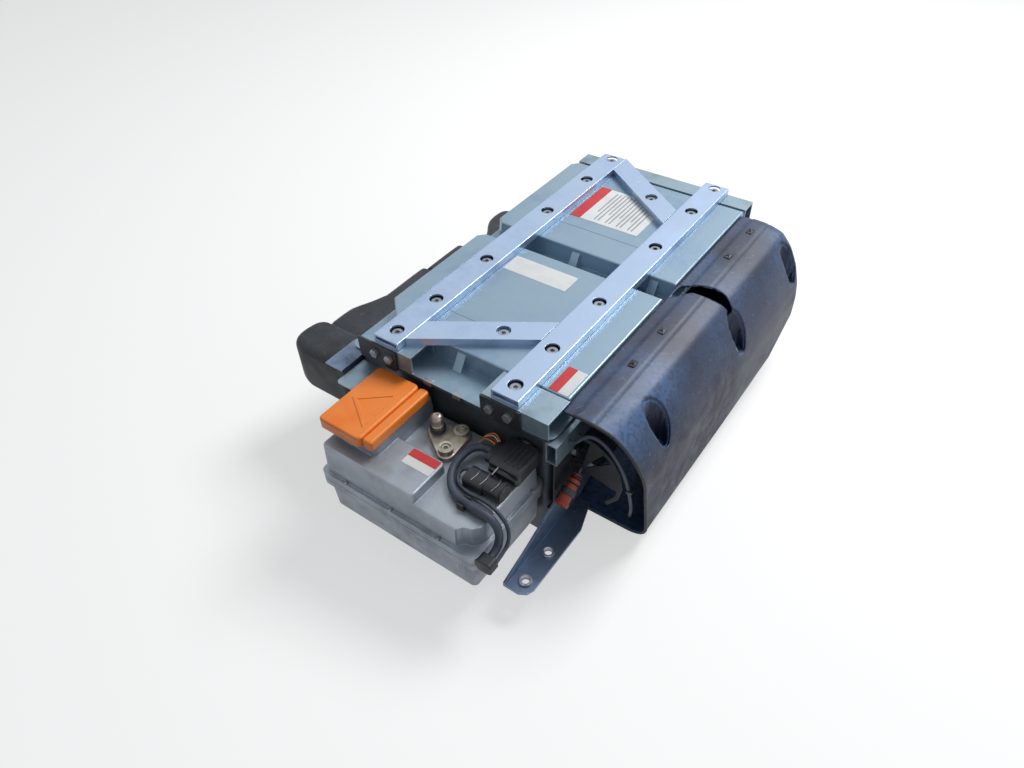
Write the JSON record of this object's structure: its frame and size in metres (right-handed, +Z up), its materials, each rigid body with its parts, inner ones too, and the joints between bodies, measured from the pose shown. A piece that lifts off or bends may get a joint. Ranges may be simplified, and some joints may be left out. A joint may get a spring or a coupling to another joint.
{
  "type": "hybrid vehicle battery module",
  "caption": "Vehicle traction battery module: steel tray and pressed cover with rails and braces, cast electronics box, orange service plug cover and side air ducts.",
  "frame": {"origin": "on the ground, on the tray's underside, midway between the two rails and under the middle of the module", "axes": "+X to the right seen from the electronics box, +Y to the rear along the rails, +Z up"},
  "size_m": [0.5762, 0.7754, 0.245],
  "materials": {
    "tray_steel": "satin paint",
    "cover_steel": "satin paint over pressed sheet",
    "rail_aluminium": "bright extruded",
    "beam_steel": "satin paint",
    "black_steel": "satin paint",
    "screw_steel": "zinc plated",
    "bracket_steel": "galvanised",
    "shroud_plastic": "moulded, dusty",
    "duct_plastic": "moulded",
    "cast_aluminium": "fine cast",
    "orange_plastic": "satin moulded",
    "black_plastic": "moulded",
    "nickel": "nickel plated",
    "harness_sleeve": "taped sleeve",
    "red_plastic": "moulded",
    "seal_rubber": "foam",
    "module_plastic": "moulded",
    "copper": "bright",
    "board_green": "lacquered",
    "porcelain": "glazed"
  },
  "bodies": {
    "root": {"box_gasket": "seal_rubber", "box_lid": "cast_aluminium", "box_screws": "screw_steel", "box_tray": "cast_aluminium", "brace_front": "rail_aluminium", "brace_rear": "rail_aluminium", "bracket_collars": "screw_steel", "cable_gland": "black_plastic", "cell_runners": "seal_rubber", "contactors": "black_plastic", "controller_board": "board_green", "cover": "cover_steel", "cover_clips": "screw_steel", "current_sensor": "black_plastic", "duct_lead": "harness_sleeve", "duct_shroud": "shroud_plastic", "duct_strip": "bracket_steel", "front_angle": "bracket_steel", "front_beam_left": "beam_steel", "front_beam_right": "beam_steel", "front_cell_stacks": "module_plastic", "harness": "harness_sleeve", "harness_clip": "black_plastic", "harness_plug": "black_plastic", "hex_bolts": "screw_steel", "inlet_spider": "duct_plastic", "lead_tie": "black_plastic", "left_duct": "duct_plastic", "main_connector": "black_plastic", "main_fuse": "porcelain", "module_busbars": "copper", "mounting_bracket": "bracket_steel", "precharge_resistor": "rail_aluminium", "rail_end_plate_left": "black_steel", "rail_end_plate_right": "black_steel", "rail_left": "rail_aluminium", "rail_right": "rail_aluminium", "rail_screws": "screw_steel", "rear_beam": "beam_steel", "rear_cell_stacks": "module_plastic", "second_connector": "black_plastic", "sensor_clip": "black_plastic", "sensor_connector": "red_plastic", "sensor_lead": "harness_sleeve", "service_cover": "orange_plastic", "service_cover_strip": "orange_plastic", "service_plug": "orange_plastic", "service_socket": "black_plastic", "shroud_screws": "screw_steel", "side_panel": "black_steel", "side_rail": "beam_steel", "stack_end_plates": "beam_steel", "terminal_collar": "black_plastic", "terminal_knob": "nickel", "terminal_plate": "cast_aluminium", "terminal_screws": "nickel", "thin_lead": "harness_sleeve", "tie_bars": "beam_steel", "tray": "tray_steel", "tray_seal": "seal_rubber"}
  },
  "joints": []
}
